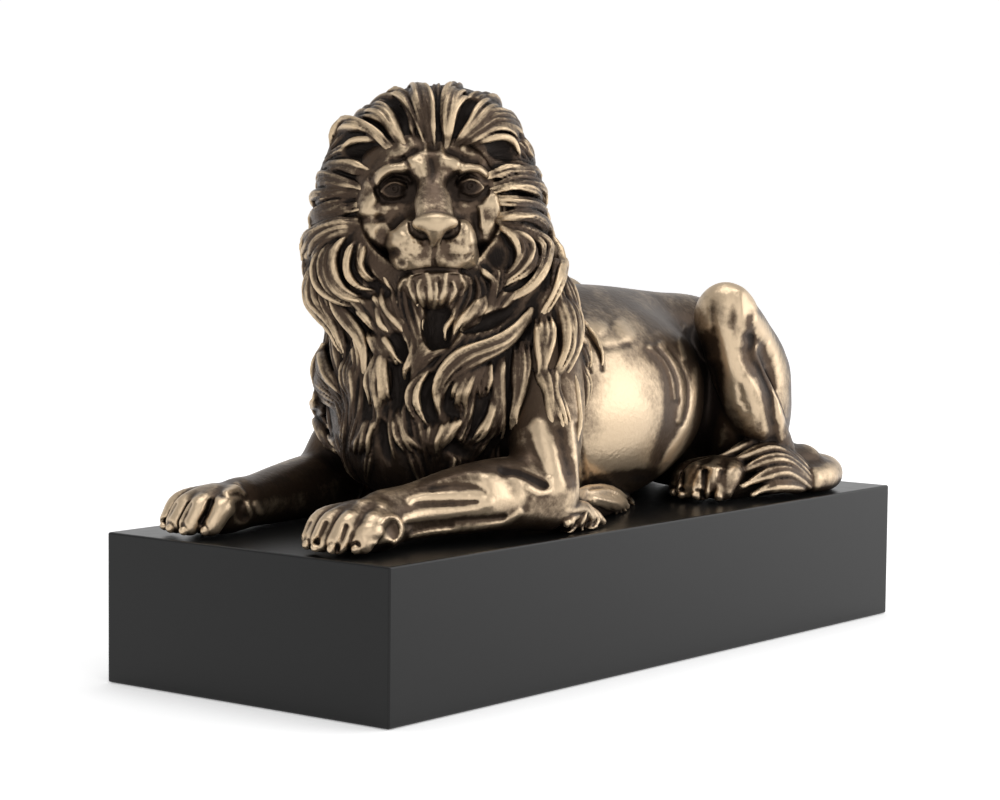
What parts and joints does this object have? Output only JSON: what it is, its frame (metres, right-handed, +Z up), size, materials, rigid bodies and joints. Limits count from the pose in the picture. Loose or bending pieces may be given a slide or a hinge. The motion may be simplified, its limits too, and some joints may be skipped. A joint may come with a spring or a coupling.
{
  "type": "reclining lion sculpture",
  "caption": "Reclining lion with a full carved mane, head turned to its left and tail laid over a hind foot, on a plain rectangular plinth.",
  "frame": {"origin": "centre of the plinth's underside", "axes": "+Z up; the lion faces -Y and its left side is +X; the plinth is longest along Y"},
  "size_m": [0.1094, 0.27, 0.1809],
  "materials": {
    "bronze_finish": "dark brown patina in the hollows, rubbed pale gold on the raised carving, satin",
    "plinth_black": "smooth satin black lacquer"
  },
  "bodies": {
    "root": {"lion": "bronze_finish", "plinth": "plinth_black"}
  },
  "joints": []
}
